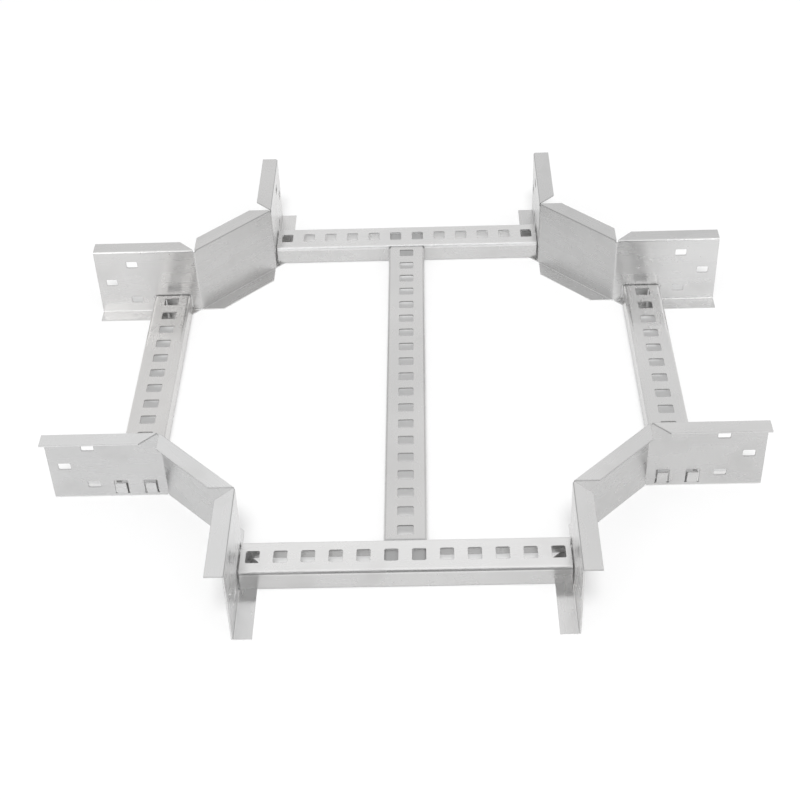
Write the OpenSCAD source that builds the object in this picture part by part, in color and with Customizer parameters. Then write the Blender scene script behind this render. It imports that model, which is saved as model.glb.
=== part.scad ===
// Four-way cross for a cable ladder: four folded corner rails, a slotted rung across each arm
// and one slotted rung through the middle.

/* [Arms] */
// Clear width of each arm, between the faces of its two side rails
arm_width = 300; // [200:5:600]
// Length of a rail's straight wing, from the arm's end to the bend
wing_length = 110; // [100:1:250]
// Length of a rail's diagonal, from bend to bend
diagonal_length = 110; // [60:1:300]

/* [Sheet] */
// Thickness of the sheet metal
sheet = 1.5; // [1:0.1:2.5]
// Inside radius of the rails' folds between web and flange
fold_radius = 1; // [0.5:0.1:2]
// Inside radius of the upright bends and of the tongues
bend_radius = 1.5; // [0.5:0.1:4]
// Thinning of the sheet, on each face, where an upright bend stretches it
bend_thinning = 0.03; // [0.02:0.01:0.1]

/* [Side rails] */
// Height of the side rails
rail_height = 80; // [70:1:150]
// Width of the top flange, which turns away from the cables
top_flange = 17; // [12:0.5:25]
// Width of the bottom flange, which turns in under the rungs
bottom_flange = 18; // [12:0.5:25]
// Distance from an upright bend to the point of the notch in each flange
notch_setback = 0.5; // [0.2:0.1:4]
// Distance that each notch reaches into the web, past the fold
notch_dip = 0.5; // [0.2:0.1:3]

/* [Joint slots] */
// Length of a joint slot along the wing
joint_slot_length = 12; // [8:0.5:16]
// Height of a joint slot
joint_slot_height = 8; // [6:0.5:10]
// Corner radius of a joint slot
joint_slot_corner = 1.5; // [0.5:0.1:2.5]
// Distance from the arm's end to the middle slot
joint_slot_setback = 15; // [12:1:20]
// Distance along the wing from the middle slot to the other two
joint_slot_step = 25; // [16:1:30]
// Distance up or down from the middle slot to the other two
joint_slot_rise = 23; // [16:1:25]

/* [Rungs] */
// Width of a rung
rung_width = 40; // [30:1:50]
// Height of a rung
rung_height = 20; // [17:0.5:40]
// Inside radius of a rung's folds
rung_fold_radius = 2; // [0.5:0.1:3]
// Distance along the wing from the bend to the near side of the rung
rung_clear = 10; // [5:1:20]
// Length of a rung slot along the rung
rung_slot_length = 12.5; // [8:0.5:16]
// Width of a rung slot across the rung
rung_slot_width = 15; // [8:0.5:20]
// Corner radius of a rung slot
rung_slot_corner = 1.5; // [0.5:0.1:3]
// Distance from one rung slot to the next
slot_pitch = 25; // [20:0.5:40]
// Least metal left between a rung's last slot and the end of its row
slot_margin = 4; // [2:0.5:10]
// Clearance where one piece fits beside another
fit_clearance = 0.3; // [0.1:0.1:1]

/* [Tongues] */
// Width of a lanced tongue in the web
tongue_width = 10; // [6:0.5:12]
// Height of the cut around a tongue
tongue_height = 15.5; // [10:0.5:18]
// Height of a tongue's root above the fold at the foot of the web
tongue_rise = 3; // [1:0.5:6]
// Lean of a tongue out of the web, in degrees
tongue_lean = 10; // [2:1:15]
// Width of the slit around a tongue
slit_width = 1.5; // [0.5:0.1:2]
// Diameter of the relief hole at the lower end of a slit
relief_diameter = 2.2; // [2.1:0.1:2.8]

/* [Hidden] */
$fn = 64;

metal = [0.80, 0.80, 0.79];
// How far a cut runs past the metal, and how far a rail's mirrored halves run into each other
cut_over = 1;
half_lap = 1;

// Angle of an upright bend, and of its arc's lap into the straight runs on both sides
bend_angle = 45;
bend_lap_angle = 1;
half_arm = arm_width / 2;
bend_at = half_arm + diagonal_length * sin(bend_angle);
bend_setback = (bend_radius + sheet) * tan(bend_angle / 2);

fold_zone = sheet + fold_radius;
web_height = rail_height - 2 * fold_zone;
notch_depth = fold_zone + notch_dip;
// The upright bend reaches a little way into the notches, which then trim it with the rest
bend_foot = fold_zone + notch_dip / 2;

rung_from_bend = rung_clear + rung_width / 2;
rung_at = bend_at + rung_from_bend;
rung_seat = sheet;
rung_fold_zone = sheet + rung_fold_radius;
rung_end_gap = fold_radius + fit_clearance;
arm_rung_length = arm_width - 2 * rung_end_gap;
centre_rung_height = rung_height - sheet;
centre_rung_reach = rung_at + rung_width / 2 - sheet - rung_end_gap;
centre_rung_free = 2 * rung_at - rung_width;

tongue_root = fold_zone + tongue_rise;
// The outer slits lie over the sides of the rung behind them
tongue_offset = (rung_width - tongue_width - slit_width) / 2;
tongue_blade = tongue_height - slit_width - (bend_radius + sheet) * sin(tongue_lean);

// Number of slots that a row of this length holds
function slot_count(row) =
    floor((row - rung_slot_length - 2 * slot_margin) / slot_pitch) + 1;

// Places of that many slots, spread evenly about the middle
function slot_places(count) = [for (i = [0 : count - 1]) (i - (count - 1) / 2) * slot_pitch];

// Extrudes a section drawn as across and up along +X
module along_x(length) {
    rotate([90, 0, 90])
        linear_extrude(length)
            children();
}

// Cuts through a web that stands along X with its face at Y = 0, drawn as along and up
module through_web() {
    translate([0, sheet + cut_over, 0])
        rotate([90, 0, 0])
            linear_extrude(sheet + 2 * cut_over)
                children();
}

// A rectangle with rounded corners, centred
module rounded_slot(length, width, corner) {
    square([length - 2 * corner, width], center = true);
    square([length, width - 2 * corner], center = true);
    for (x = [-1, 1], y = [-1, 1])
        translate([x * (length / 2 - corner), y * (width / 2 - corner)])
            circle(corner);
}

// Section of a right-angle fold, in the quadrant where both coordinates are positive
module fold_section(inner) {
    outer = inner + sheet;
    intersection() {
        difference() {
            circle(outer);
            circle(inner);
        }
        square(outer);
    }
}

// Section of a rail: web at 0, top flange outwards on the right, bottom flange inwards on the left
module rail_section() {
    translate([0, fold_zone])
        square([sheet, web_height]);
    translate([fold_zone, rail_height - fold_zone])
        mirror([1, 0])
            fold_section(fold_radius);
    translate([fold_zone, rail_height - sheet])
        square([top_flange - fold_zone, sheet]);
    translate([-fold_radius, fold_zone])
        mirror([0, 1])
            fold_section(fold_radius);
    translate([sheet - bottom_flange, 0])
        square([bottom_flange - fold_zone, sheet]);
}

// Turns what stands along the wing beside the bend at the origin to stand along the diagonal
module along_diagonal() {
    rotate(-bend_angle)
        mirror([1, 0, 0])
            children();
}

// Plan of the top flange's notch beside the bend: square across the sheet, then at 45 degrees
module notch_plan(reach) {
    near = bend_setback + notch_setback;
    far = reach + cut_over;
    polygon([
        [0, -cut_over],
        [near, -cut_over],
        [near, sheet],
        [near + far - sheet, far],
        [0, far]
    ]);
}

// The same for the bottom flange, which lies on the other side of the web
module bottom_notch_plan() {
    translate([0, sheet])
        mirror([0, 1])
            notch_plan(bottom_flange);
}

// Cuts both flanges back on both sides of the bend at the origin
module flange_notches() {
    translate([0, 0, rail_height - notch_depth])
        linear_extrude(notch_depth + cut_over) {
            notch_plan(top_flange);
            along_diagonal()
                notch_plan(top_flange);
        }
    translate([0, 0, -cut_over])
        linear_extrude(notch_depth + cut_over) {
            bottom_notch_plan();
            along_diagonal()
                bottom_notch_plan();
        }
}

// Section of a tongue from its root: a short bend, then a straight blade that leans outwards
module tongue_section() {
    wedge = 2 * (bend_radius + sheet);
    translate([sheet + bend_radius, 0]) {
        intersection() {
            difference() {
                circle(bend_radius + sheet);
                circle(bend_radius);
            }
            polygon([[0, 0], [-wedge, 0], [-wedge, wedge * tan(tongue_lean)]]);
        }
        rotate(-tongue_lean)
            translate([-bend_radius - sheet, 0])
                square([sheet, tongue_blade]);
    }
}

// Window in the web that frees a tongue, drawn as along and up from the tongue's root
module tongue_window() {
    window = tongue_width + 2 * slit_width;
    translate([-window / 2, 0])
        square([window, tongue_height]);
}

// Relief holes at the lower ends of a tongue's two slits
module tongue_reliefs() {
    for (side = [-1, 1])
        translate([side * (tongue_width + slit_width) / 2, 0])
            circle(d = relief_diameter);
}

// Puts its children at the roots of the two tongues behind a rung's end
module at_tongues() {
    for (side = [-1, 1])
        translate([rung_from_bend + side * tongue_offset, 0, tongue_root])
            children();
}

// Puts its children at the three joint slots of a wing
module at_joint_slots() {
    middle = wing_length - joint_slot_setback;
    translate([middle, 0, rail_height / 2])
        children();
    for (side = [-1, 1])
        translate([middle - joint_slot_step, 0, rail_height / 2 + side * joint_slot_rise])
            children();
}

// A straight run of the rail that leaves the bend at the origin along +X
module straight_run(length) {
    translate([bend_setback, 0, 0])
        along_x(length - bend_setback)
            rail_section();
}

// A wing, from the bend at the origin to the arm's end
module wing() {
    difference() {
        union() {
            difference() {
                straight_run(wing_length);
                at_joint_slots()
                    through_web()
                        rounded_slot(joint_slot_length, joint_slot_height, joint_slot_corner);
                at_tongues()
                    through_web()
                        tongue_window();
            }
            at_tongues()
                translate([-tongue_width / 2, 0, 0])
                    along_x(tongue_width)
                        tongue_section();
        }
        at_tongues()
            through_web()
                tongue_reliefs();
    }
}

// The upright bend of the web, from the wing to the diagonal
module upright_bend() {
    translate([bend_setback, sheet + bend_radius, bend_foot])
        rotate(180 + bend_angle - bend_lap_angle)
            rotate_extrude(angle = bend_angle + 2 * bend_lap_angle)
                translate([bend_radius + bend_thinning, 0])
                    square([sheet - 2 * bend_thinning, rail_height - 2 * bend_foot]);
}

// Half a rail about the bend at the origin: the wing, and the diagonal to just past its middle
module half_rail() {
    difference() {
        union() {
            wing();
            upright_bend();
            along_diagonal()
                straight_run(diagonal_length / 2 + half_lap);
        }
        flange_notches();
    }
}

// A corner rail in the quadrant where X and Y are positive: two mirrored halves
module corner_rail() {
    color(metal)
        for (turn = [0, 1])
            mirror([turn, -turn, 0])
                translate([bend_at, half_arm, 0])
                    half_rail();
}

// Section of a rung: a channel that is open at the bottom
module rung_section(height) {
    flat = rung_width - 2 * rung_fold_zone;
    translate([-flat / 2, height - sheet])
        square([flat, sheet]);
    for (side = [0, 1])
        mirror([side, 0]) {
            translate([flat / 2, height - rung_fold_zone])
                fold_section(rung_fold_radius);
            translate([rung_width / 2 - sheet, 0])
                square([sheet, height - rung_fold_zone]);
        }
}

// A slotted rung along X, centred, with its slots spread over a row of the given length
module slotted_rung(length, height, row) {
    difference() {
        translate([-length / 2, 0, 0])
            along_x(length)
                rung_section(height);
        translate([0, 0, height - sheet - cut_over])
            linear_extrude(sheet + 2 * cut_over)
                for (x = slot_places(slot_count(row)))
                    translate([x, 0])
                        rounded_slot(rung_slot_length, rung_slot_width, rung_slot_corner);
    }
}

// The rung across the arm that points along +Y, with or without the mouth for the centre rung
module arm_rung(mouth) {
    color(metal)
        translate([0, rung_at, rung_seat])
            difference() {
                slotted_rung(arm_rung_length, rung_height, arm_width);
                if (mouth)
                    translate([-rung_width / 2 - fit_clearance, -rung_width / 2 - cut_over, -cut_over])
                        cube([
                            rung_width + 2 * fit_clearance,
                            rung_fold_zone + cut_over,
                            centre_rung_height + cut_over
                        ]);
            }
}

module rail_front_left() {
    rotate(180)
        corner_rail();
}

module rail_front_right() {
    rotate(-90)
        corner_rail();
}

module rail_back_left() {
    rotate(90)
        corner_rail();
}

module rail_back_right() {
    corner_rail();
}

module rung_front() {
    rotate(180)
        arm_rung(true);
}

module rung_back() {
    arm_rung(true);
}

module rung_left() {
    rotate(90)
        arm_rung(false);
}

module rung_right() {
    rotate(-90)
        arm_rung(false);
}

// The middle rung, from front to back, whose ends lie under the tops of the front and back rungs
module rung_centre() {
    color(metal)
        translate([0, 0, rung_seat])
            rotate(90)
                slotted_rung(2 * centre_rung_reach, centre_rung_height, centre_rung_free);
}

rail_front_left();
rail_front_right();
rail_back_left();
rail_back_right();
rung_front();
rung_back();
rung_left();
rung_right();
rung_centre();
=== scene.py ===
import math

import bpy
from mathutils import Matrix, Vector


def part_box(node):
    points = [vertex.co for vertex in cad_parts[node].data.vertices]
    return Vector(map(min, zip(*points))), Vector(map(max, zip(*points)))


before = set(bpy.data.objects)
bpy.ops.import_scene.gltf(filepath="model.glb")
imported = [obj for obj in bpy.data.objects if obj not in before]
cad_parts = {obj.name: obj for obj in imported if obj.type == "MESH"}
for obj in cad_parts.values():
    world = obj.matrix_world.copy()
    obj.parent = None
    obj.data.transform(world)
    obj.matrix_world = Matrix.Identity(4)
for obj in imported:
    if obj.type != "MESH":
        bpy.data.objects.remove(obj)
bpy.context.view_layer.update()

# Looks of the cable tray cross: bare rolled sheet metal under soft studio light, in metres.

MM = 0.001

# Sizes of the cross that the painted levels and marks follow, and the lean of its lanced tongues in
# degrees
WING_LENGTH = 110 * MM
RAIL_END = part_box("rail_back_right")[1].x
BEND_AT = RAIL_END - WING_LENGTH
COVERED_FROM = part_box("rung_back")[0].y
SHEET = 1.5 * MM
RUNG_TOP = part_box("rung_back")[1].z
RUNG_HALF_WIDTH = (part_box("rung_back")[1].y - COVERED_FROM) / 2
TONGUE_LEAN = 10

# Heights between which a rail's web turns into its flanges and a rung's walls into its top, and half
# the width of an upright bend
FOOT_FOLD = (1 * MM, 2.5 * MM)
TOP_FOLD = (77.5 * MM, 79 * MM)
RUNG_FOLD = (16.5 * MM, 19.5 * MM)
BEND_BLEND = 2 * MM

# Levels and warmth of each piece's metal, and the way its strip runs. The levels are painted light and
# shade: lit and shaded copies of one metal, a level for each face as the light falls on it. A rail has a
# level each for the web of its side wing, its diagonal and its front or back wing, for its top flange,
# and for its bottom flange on the wings and on the diagonal, and a rung for its top, its walls and its
# inside.
PAINTED_LIGHT_LEVELS = {
    "rail_front_left": ((0.59, 0.56, 0.69, 0.71, 0.87, 0.87), 0.0, "rail"),
    "rail_front_right": ((0.56, 0.56, 0.63, 0.65, 0.92, 0.92), 0.004, "rail"),
    "rail_back_left": ((0.63, 0.54, 0.63, 0.60, 0.69, 0.80), 0.006, "rail"),
    "rail_back_right": ((0.64, 0.50, 0.53, 0.56, 0.61, 0.95), 0.002, "rail"),
    "rung_front": ((0.80, 0.61, 0.65), 0.004, "x"),
    "rung_back": ((0.70, 0.63, 0.95), 0.004, "x"),
    "rung_left": ((0.64, 0.64, 0.51), 0.012, "y"),
    "rung_right": ((0.64, 0.64, 0.57), 0.004, "y"),
    "rung_centre": ((0.63, 0.63, 0.63), 0.006, "y"),
}

# How far the marks of one piece are shifted against those of the piece before
SEED_STEP = 1.7

# What the length along the strip is multiplied by in a mark's pattern (the smaller, the longer the
# mark), the slant of the scratches, and how fine each pattern is
LINE_STRETCH = 0.02
STREAK_STRETCH = 0.12
SCRATCH_STRETCH = 0.04
SCRATCH_SLANT = 0.35
LINE_SCALE = 900.0
STREAK_SCALE = 90.0
CLOUD_SCALE = 9.0
SMUDGE_SCALE = 26.0
SCRATCH_SCALE = 420.0

# Noise levels between which each mark comes up
LINE_RANGE = (0.35, 0.65)
STREAK_RANGE = (0.25, 0.75)
CLOUD_RANGE = (0.3, 0.7)
SMUDGE_RANGE = (0.52, 0.75)
SCRATCH_RANGE = (0.7, 0.76)

# Each mark's level as a share of the metal's level, and how much of the metal it covers
CLOUD_SHARES = (0.96, 1.03)
LINE_SHARE = 0.7
LINE_COVER = 0.03
SMUDGE_SHARE = 0.75
SMUDGE_WARMTH = 0.02
SMUDGE_COVER = 0.1
SCRATCH_SHARE = 1.15
SCRATCH_COVER = 0.07
EDGE_SHARE = 0.5
EDGE_COVER = 0.7

# Roughness of the metal from its smoothest to its dullest streak, and what the marks add to it
ROUGHNESS = (0.25, 0.29)
SMUDGE_ROUGHNESS = 0.05
SCRATCH_ROUGHNESS = 0.03
FOLD_ROUGHNESS = 0.15
EDGE_ROUGHNESS = 0.25

# Height bands of painted lines along the folds and how strong each is, the length over which they fade,
# and the level of the painted shade and of the painted highlight as a share of the metal's. Only the
# back rung's are a painted highlight, and the side wings of the rails have none.
FOLD_PAINT_BANDS = {
    "rail": ((1.7 * MM, 2.3 * MM, 0.5), (78.5 * MM, 79.2 * MM, 0.7)),
    "x": ((18.9 * MM, 19.6 * MM, 0.8), (20.5 * MM, 21.2 * MM, 0.2)),
    "y": ((18.9 * MM, 19.6 * MM, 0.3),),
    "rung_back": ((17.5 * MM, 20.8 * MM, 1.0),),
}
FOLD_BLEND = 0.25 * MM
FOLD_SHADE_SHARE = 0.5
FOLD_HIGHLIGHT_SHARE = 1.4

# How far the normal of a leaning tongue rises or falls, and the painted sheen that makes the tongues
# lighter
TONGUE_RISE = math.sin(math.radians(TONGUE_LEAN))
LEAN_BLEND = 0.03
TONGUE_PAINTED_SHEEN = 0.08

# How far more the rolling lines blur a reflection across the strip than along it, and the quarter turn
# that lays the blur across
GRAIN_BLUR = 0.9
GRAIN_TURN = 0.25

# Waviness of the sheet, and the share of the rolling lines in it
BUMP_STRENGTH = 0.12
BUMP_DISTANCE = 1 * MM
LINE_HEIGHT = 0.001

# Width over which a cut edge or a sharp corner is darker and rougher, partly its own sheared surface and
# partly painted shade, the samples that find it, and how well the rounded normal agrees with the face's
# own where the edge begins and where it is full
CUT_EDGE = 0.8 * MM
EDGE_SAMPLES = 6
EDGE_AGREEMENT = (0.97, 0.78)

# The covered ends of the centre rung, painted as the shade under the front and back rungs: length over
# which the painted shade comes in, its level, and the roughness there
COVERED_SHADE_BLEND = 2.5 * MM
COVERED_SHADE_LEVEL = 0.57
COVERED_ROUGHNESS = 0.6

# The photograph's camera: image side and focal length in pixels, angles in degrees, places in metres
IMAGE_SIDE = 800
FOCAL_PIXELS = 1542
SENSOR_WIDTH = 36
CAMERA_AZIMUTH = 1.81
CAMERA_ELEVATION = 39.49
CAMERA_ROLL = -2.35
CAMERA_DISTANCE = 1.5957
CAMERA_SLIDE = (-0.0068, -0.0091)

# Side and level of the floor, share of its own white, and strength of the world's fill
FLOOR_SIDE = 30
FLOOR_LEVEL = 0.9
FLOOR_GLOW = 0.33
WORLD_FILL = 0.62

# Place, width, height and level of the card
CARD_AT = -1.75
CARD_WIDTH = 1.04
CARD_HEIGHT = 2.2
CARD_LEVEL = 0.16

# Share of a softbox's light on what the camera sees directly, and the ray depth above which light
# counts as seen in a reflection
DIRECT_SHARE = 0.15
REFLECTED_DEPTH = 1.5


class Graph:
    """Adds nodes to one shader tree and links them."""

    def __init__(self, tree):
        self.tree = tree
        tree.nodes.clear()

    def add(self, kind, settings=None, **inputs):
        """A new node with its settings, and its inputs given by name as a value or a socket."""
        node = self.tree.nodes.new(kind)
        for name, value in (settings or {}).items():
            setattr(node, name, value)
        for name, value in inputs.items():
            self.put(node.inputs[name.replace("_", " ")], value)
        return node

    def put(self, socket, value):
        """Links a socket to the input, or sets the input's own value."""
        if isinstance(value, bpy.types.NodeSocket):
            self.tree.links.new(value, socket)
        else:
            socket.default_value = value

    def math(self, operation, *values):
        """The result of a math node."""
        node = self.add("ShaderNodeMath", {"operation": operation})
        for socket, value in zip(node.inputs, values):
            self.put(socket, value)
        return node.outputs[0]

    def vector(self, x, y, z):
        """A vector made of three values."""
        return self.add("ShaderNodeCombineXYZ", X=x, Y=y, Z=z).outputs[0]

    def noise(self, vector, scale, detail=2.0, roughness=0.5):
        """Smooth noise from 0 to 1 at the vector."""
        node = self.add(
            "ShaderNodeTexNoise",
            Vector=vector, Scale=scale, Detail=detail, Roughness=roughness,
        )
        return node.outputs["Fac"]

    def ramp(self, value, low, high, low_result=0.0, high_result=1.0):
        """The value taken smoothly from one range to another, and held at the ends."""
        node = self.add("ShaderNodeMapRange", {"interpolation_type": "SMOOTHSTEP"}, Value=value)
        limits = {"From Min": low, "From Max": high, "To Min": low_result, "To Max": high_result}
        for name, limit in limits.items():
            self.put(node.inputs[name], limit)
        return node.outputs[0]

    def band(self, value, low, high, blend):
        """1 where the value lies between two limits, fading to 0 over the blend outside them."""
        rise = self.ramp(value, low - blend, low)
        fall = self.ramp(value, high, high + blend, 1.0, 0.0)
        return self.math("MULTIPLY", rise, fall)

    def mix(self, factor, first, second):
        """A colour between two colours."""
        node = self.add("ShaderNodeMix", {"data_type": "RGBA"})
        self.put(node.inputs[0], factor)
        self.put(node.inputs[6], first)
        self.put(node.inputs[7], second)
        return node.outputs[2]

    def pick(self, chosen, otherwise, value):
        """The value where it is chosen, and else the other one."""
        node = self.add("ShaderNodeMix", {"data_type": "FLOAT"})
        self.put(node.inputs[0], chosen)
        self.put(node.inputs[2], otherwise)
        self.put(node.inputs[3], value)
        return node.outputs[0]


def grey(level, warmth=0.0):
    """A colour of that level, a little warm or cool."""
    return (level * (1 + warmth), level, level * (1 - warmth), 1.0)


def rail_grain(graph, x, y):
    """Coordinates along a rail's strip and across it, its direction, and 1 on each of its wings."""
    far_x = graph.math("ABSOLUTE", x)
    far_y = graph.math("ABSOLUTE", y)
    on_x_wing = graph.math("GREATER_THAN", far_x, BEND_AT)
    on_y_wing = graph.math("GREATER_THAN", far_y, BEND_AT)
    side_wing, end_wing = (
        graph.ramp(far, BEND_AT - BEND_BLEND, BEND_AT + BEND_BLEND) for far in (far_x, far_y)
    )
    half_root = math.sqrt(0.5)
    along = graph.math("MULTIPLY", graph.math("SUBTRACT", far_x, far_y), half_root)
    across = graph.math("MULTIPLY", graph.math("ADD", far_x, far_y), half_root)
    for chosen, run, side in ((on_x_wing, far_x, far_y), (on_y_wing, far_y, far_x)):
        along = graph.pick(chosen, along, run)
        across = graph.pick(chosen, across, side)
    quadrant = graph.math("SIGN", graph.math("MULTIPLY", x, y))
    off_x = graph.pick(on_y_wing, graph.math("MULTIPLY", quadrant, -1.0), 1.0)
    direction = graph.vector(
        graph.math("SUBTRACT", 1.0, on_y_wing), graph.pick(on_x_wing, off_x, 0.0), 0.0,
    )
    return along, across, direction, side_wing, end_wing


def leaning_share(graph):
    """1 on the lanced tongues, which are the only flat faces of a rail that lean, and else 0."""
    normal = graph.add("ShaderNodeNewGeometry").outputs["True Normal"]
    rise = graph.math("ABSOLUTE", graph.add("ShaderNodeSeparateXYZ", Vector=normal).outputs["Z"])
    return graph.band(rise, TONGUE_RISE - LEAN_BLEND, TONGUE_RISE + LEAN_BLEND, LEAN_BLEND)


def rung_inside(graph, across, up, middle):
    """1 on the faces inside a rung's channel, and 0 on its outside."""
    off = graph.math("ABSOLUTE", graph.math("SUBTRACT", across, middle))
    inner = RUNG_HALF_WIDTH - SHEET
    under = RUNG_TOP - SHEET
    between = graph.ramp(off, inner, inner + SHEET / 2, 1.0, 0.0)
    below = graph.ramp(up, under, under + SHEET / 2, 1.0, 0.0)
    return graph.math("MULTIPLY", between, below)


def edge_share(graph):
    """1 on cut edges and at sharp corners, and 0 on open faces."""
    bevel = graph.add("ShaderNodeBevel", {"samples": EDGE_SAMPLES}, Radius=CUT_EDGE)
    flat = graph.add("ShaderNodeNewGeometry").outputs["Normal"]
    agree = graph.add("ShaderNodeVectorMath", {"operation": "DOT_PRODUCT"})
    graph.put(agree.inputs[0], bevel.outputs[0])
    graph.put(agree.inputs[1], flat)
    return graph.ramp(agree.outputs["Value"], *EDGE_AGREEMENT)


def painted_fold_light(graph, up, fold_light_bands, strength):
    """Painted shade and painted highlight along the folds, in bands of height."""
    folds = 0.0
    for low, high, share in fold_light_bands:
        folds = graph.math("MULTIPLY_ADD", graph.band(up, low, high, FOLD_BLEND), share, folds)
    return graph.math("MULTIPLY", folds, strength)


def rolled_marks(graph, along, across, up):
    """Patterns of rolling lines, streaks, clouds, smudges and scratches on a strip."""
    body = graph.vector(along, across, up)
    line_place = graph.vector(graph.math("MULTIPLY", along, LINE_STRETCH), across, up)
    lines = graph.noise(line_place, LINE_SCALE, detail=3.0, roughness=0.6)
    streak_place = graph.vector(graph.math("MULTIPLY", along, STREAK_STRETCH), across, up)
    streaks = graph.noise(streak_place, STREAK_SCALE)
    clouds = graph.noise(body, CLOUD_SCALE, detail=3.0)
    smudges = graph.ramp(graph.noise(body, SMUDGE_SCALE, detail=3.0), *SMUDGE_RANGE)
    slant = graph.math("MULTIPLY", along, SCRATCH_SLANT)
    scratch_place = graph.vector(
        graph.math("MULTIPLY", along, SCRATCH_STRETCH),
        graph.math("ADD", across, slant),
        graph.math("ADD", up, slant),
    )
    scratches = graph.ramp(graph.noise(scratch_place, SCRATCH_SCALE, detail=1.0), *SCRATCH_RANGE)
    return lines, streaks, clouds, smudges, scratches


def sheet_metal(name, levels, warmth, seed, runs, fold_light_bands, fold_light_share, middle, painted_shade_from):
    """Rolled sheet with the marks of rolling and handling, painted light and shade on its faces, painted
    shade and highlight along its folds, and cut edges darkened partly by their sheared surface and
    partly by painted shade.
    """
    material = bpy.data.materials.new(name)
    material.use_nodes = True
    graph = Graph(material.node_tree)
    place = graph.add("ShaderNodeTexCoord").outputs["Object"]
    x, y, up = graph.add("ShaderNodeSeparateXYZ", Vector=place).outputs
    level = levels[0]
    shares = [other / level for other in levels]
    if runs == "rail":
        side_web, diagonal_web, end_web, top_flange, wing_foot, diagonal_foot = shares
        along, across, direction, side_wing, end_wing = rail_grain(graph, x, y)
        # Painted light and shade: each web, flange and foot of a rail gets its own level as the light
        # falls on it
        on_web = graph.pick(end_wing, graph.pick(side_wing, diagonal_web, side_web), end_web)
        on_wing = graph.math("MAXIMUM", side_wing, end_wing)
        on_foot = graph.pick(on_wing, diagonal_foot, wing_foot)
        above_foot = graph.pick(graph.ramp(up, *FOOT_FOLD), on_foot, on_web)
        # Painted sheen: the leaning tongues are painted lighter than the web around them
        below_top = graph.math("MULTIPLY_ADD", leaning_share(graph), TONGUE_PAINTED_SHEEN, above_foot)
        painted_light_tone = graph.pick(graph.ramp(up, *TOP_FOLD), below_top, top_flange)
        fold_light_strength = graph.math("SUBTRACT", 1.0, side_wing)
    else:
        top, walls, inside = shares
        along, across = (x, y) if runs == "x" else (y, x)
        direction = graph.vector(*((1.0, 0.0, 0.0) if runs == "x" else (0.0, 1.0, 0.0)))
        # Painted light and shade: a rung's top, walls and inside each get a level of their own as the
        # light falls on them
        outside = graph.ramp(up, *RUNG_FOLD, walls, top)
        painted_light_tone = graph.pick(rung_inside(graph, across, up, middle), outside, inside)
        fold_light_strength = 1.0
    shifted = graph.math("ADD", along, seed)
    lines, streaks, clouds, smudges, scratches = rolled_marks(graph, shifted, across, up)
    folds = painted_fold_light(graph, up, fold_light_bands, fold_light_strength)
    edges = edge_share(graph)

    dark_cloud, light_cloud = (grey(level * share, warmth) for share in CLOUD_SHARES)
    colour = graph.mix(graph.ramp(clouds, *CLOUD_RANGE), dark_cloud, light_cloud)
    covers = (
        (graph.ramp(lines, *LINE_RANGE, 0.0, LINE_COVER), grey(level * LINE_SHARE)),
        (graph.math("MULTIPLY", smudges, SMUDGE_COVER), grey(level * SMUDGE_SHARE, SMUDGE_WARMTH)),
        (graph.math("MULTIPLY", scratches, SCRATCH_COVER), grey(level * SCRATCH_SHARE)),
        # Painted shade and painted highlight along the folds
        (folds, grey(level * fold_light_share)),
        # Cut edges and corners darker: partly their sheared surface, partly painted shade along edges
        # and in corners
        (graph.math("MULTIPLY", edges, EDGE_COVER), grey(level * EDGE_SHARE)),
    )
    for cover, paint in covers:
        colour = graph.mix(cover, colour, paint)
    toned = graph.add("ShaderNodeVectorMath", {"operation": "SCALE"}, Vector=colour, Scale=painted_light_tone)
    colour = toned.outputs[0]

    roughness = graph.ramp(streaks, *STREAK_RANGE, *ROUGHNESS)
    extras = (
        (smudges, SMUDGE_ROUGHNESS),
        (scratches, SCRATCH_ROUGHNESS),
        (folds, FOLD_ROUGHNESS),
        (edges, EDGE_ROUGHNESS),
    )
    for mark, extra in extras:
        roughness = graph.math("MULTIPLY_ADD", mark, extra, roughness)
    # Painted shade on the centre rung's ends, which lie under the front and back rungs
    if painted_shade_from is not None:
        covered_shade = graph.ramp(graph.math("ABSOLUTE", along), painted_shade_from - COVERED_SHADE_BLEND, painted_shade_from)
        colour = graph.mix(covered_shade, colour, grey(COVERED_SHADE_LEVEL))
        roughness = graph.pick(covered_shade, roughness, COVERED_ROUGHNESS)

    height = graph.math("MULTIPLY_ADD", lines, LINE_HEIGHT, clouds)
    bump = graph.add("ShaderNodeBump", Strength=BUMP_STRENGTH, Distance=BUMP_DISTANCE, Height=height)
    shader = graph.add(
        "ShaderNodeBsdfPrincipled",
        Base_Color=colour, Metallic=1.0, Roughness=roughness, Normal=bump.outputs[0],
        Anisotropic=GRAIN_BLUR, Anisotropic_Rotation=GRAIN_TURN, Tangent=direction,
    )
    graph.add("ShaderNodeOutputMaterial", Surface=shader.outputs[0])
    return material


def dress_pieces():
    """Gives each CAD piece its own metal."""
    for number, (node_name, (levels, warmth, runs)) in enumerate(PAINTED_LIGHT_LEVELS.items()):
        low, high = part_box(node_name)
        centre = (low + high) / 2
        piece_metal = sheet_metal(
            "metal_" + node_name,
            levels,
            warmth,
            seed=number * SEED_STEP,
            runs=runs,
            fold_light_bands=FOLD_PAINT_BANDS.get(node_name, FOLD_PAINT_BANDS[runs]),
            fold_light_share=FOLD_HIGHLIGHT_SHARE if node_name == "rung_back" else FOLD_SHADE_SHARE,
            middle=centre.y if runs == "x" else centre.x,
            painted_shade_from=COVERED_FROM if node_name == "rung_centre" else None,
        )
        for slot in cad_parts[node_name].material_slots:
            slot.material = piece_metal


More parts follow.
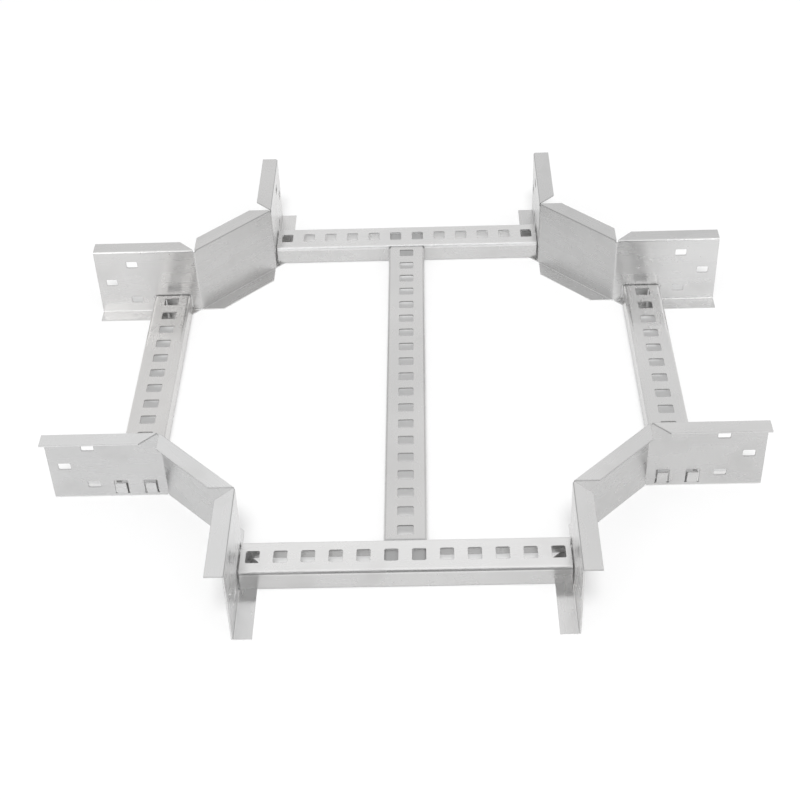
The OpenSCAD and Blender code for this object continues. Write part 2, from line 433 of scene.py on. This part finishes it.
def seen_as_background(graph):
    """1 for the camera's rays and for those that metal or glass sends on, and else 0."""
    path = graph.add("ShaderNodeLightPath").outputs
    seen = graph.math("MAXIMUM", path["Is Camera Ray"], path["Is Glossy Ray"])
    return graph.math("MAXIMUM", seen, path["Is Transmission Ray"])


def white_world():
    """White where it is seen, and a soft fill for everything else."""
    world = bpy.data.worlds.new("studio")
    world.use_nodes = True
    bpy.context.scene.world = world
    graph = Graph(world.node_tree)
    strength = graph.pick(seen_as_background(graph), WORLD_FILL, 1.0)
    background = graph.add("ShaderNodeBackground", Color=grey(1.0), Strength=strength)
    graph.add("ShaderNodeOutputWorld", Surface=background.outputs[0])


def studio_floor():
    """A plain pale floor that looks white and keeps the shadow."""
    bpy.ops.mesh.primitive_plane_add(size=FLOOR_SIDE)
    floor = bpy.context.object
    floor.name = "floor"
    material = bpy.data.materials.new("floor_white")
    material.use_nodes = True
    graph = Graph(material.node_tree)
    matte = graph.add("ShaderNodeBsdfDiffuse", Color=grey(FLOOR_LEVEL))
    glow = graph.add("ShaderNodeEmission", Color=grey(1.0), Strength=1.0)
    share = graph.math("MULTIPLY", seen_as_background(graph), FLOOR_GLOW)
    mixed = graph.add("ShaderNodeMixShader", Fac=share)
    graph.put(mixed.inputs[1], matte.outputs[0])
    graph.put(mixed.inputs[2], glow.outputs[0])
    graph.add("ShaderNodeOutputMaterial", Surface=mixed.outputs[0])
    floor.data.materials.append(material)


def grey_card():
    """A dim card behind the camera that only the metal's reflections show, as a darker front."""
    bpy.ops.mesh.primitive_plane_add(
        size=1, location=(0, CARD_AT, CARD_HEIGHT / 2), rotation=(math.radians(90), 0, 0),
    )
    card = bpy.context.object
    card.name = "card"
    card.scale = (CARD_WIDTH, CARD_HEIGHT, 1)
    card.visible_camera = False
    card.visible_diffuse = False
    card.visible_shadow = False
    material = bpy.data.materials.new("card_grey")
    material.use_nodes = True
    graph = Graph(material.node_tree)
    matte = graph.add("ShaderNodeBsdfDiffuse", Color=grey(CARD_LEVEL))
    graph.add("ShaderNodeOutputMaterial", Surface=matte.outputs[0])
    card.data.materials.append(material)


def softbox(name, place, aim, width, depth, power):
    """An area lamp turned to its aim, dimmer on what the camera sees than in the metal's reflections."""
    lamp = bpy.data.lights.new(name, "AREA")
    lamp.shape = "RECTANGLE"
    lamp.size = width
    lamp.size_y = depth
    lamp.energy = power
    lamp.use_nodes = True
    graph = Graph(lamp.node_tree)
    ray_depth = graph.add("ShaderNodeLightPath").outputs["Ray Depth"]
    reflected = graph.math("GREATER_THAN", ray_depth, REFLECTED_DEPTH)
    emission = graph.add("ShaderNodeEmission", Strength=graph.pick(reflected, DIRECT_SHARE, 1.0))
    graph.add("ShaderNodeOutputLight", Surface=emission.outputs[0])
    holder = bpy.data.objects.new(name, lamp)
    holder.location = place
    holder.rotation_mode = "QUATERNION"
    holder.rotation_quaternion = (Vector(aim) - Vector(place)).to_track_quat("-Z", "Y")
    bpy.context.scene.collection.objects.link(holder)


def key_light(place, strength, spread):
    """An even soft light from the side where the place lies, which the metal doesn't mirror."""
    lamp = bpy.data.lights.new("lamp_key", "SUN")
    lamp.energy = strength
    lamp.angle = math.radians(spread)
    holder = bpy.data.objects.new("lamp_key", lamp)
    holder.rotation_mode = "QUATERNION"
    holder.rotation_quaternion = Vector(place).to_track_quat("Z", "Y")
    holder.visible_glossy = False
    bpy.context.scene.collection.objects.link(holder)


def photo_camera():
    """The camera at the photograph's viewing angle."""
    azimuth, elevation, roll = (
        math.radians(angle) for angle in (CAMERA_AZIMUTH, CAMERA_ELEVATION, CAMERA_ROLL)
    )
    level = math.cos(elevation)
    back = Vector((math.sin(azimuth) * level, -math.cos(azimuth) * level, math.sin(elevation)))
    flat_right = Vector((math.cos(azimuth), math.sin(azimuth), 0))
    flat_up = back.cross(flat_right)
    right = math.cos(roll) * flat_right + math.sin(roll) * flat_up
    up = -math.sin(roll) * flat_right + math.cos(roll) * flat_up
    place = back * CAMERA_DISTANCE + right * CAMERA_SLIDE[0] + up * CAMERA_SLIDE[1]
    data = bpy.data.cameras.new("camera")
    data.sensor_width = SENSOR_WIDTH
    data.lens = FOCAL_PIXELS / IMAGE_SIDE * SENSOR_WIDTH
    camera = bpy.data.objects.new("camera", data)
    turn = Matrix((right, up, back)).transposed().to_4x4()
    camera.matrix_world = Matrix.Translation(place) @ turn
    bpy.context.scene.collection.objects.link(camera)
    bpy.context.scene.camera = camera


dress_pieces()
photo_camera()
white_world()
studio_floor()
grey_card()
key_light(place=(0, -1.1, 2.0), strength=1.65, spread=15)
softbox("lamp_top", place=(0, -0.9, 2.2), aim=(0, -0.9, 0), width=2.4, depth=1.8, power=6)
softbox("lamp_left", place=(-1.25, -1.9, 1.5), aim=(0, 0, 0), width=1.2, depth=1.4, power=12)
softbox("lamp_right", place=(1.25, -1.9, 1.5), aim=(0, 0, 0), width=1.2, depth=1.4, power=12)
bpy.context.scene.view_settings.view_transform = "Standard"
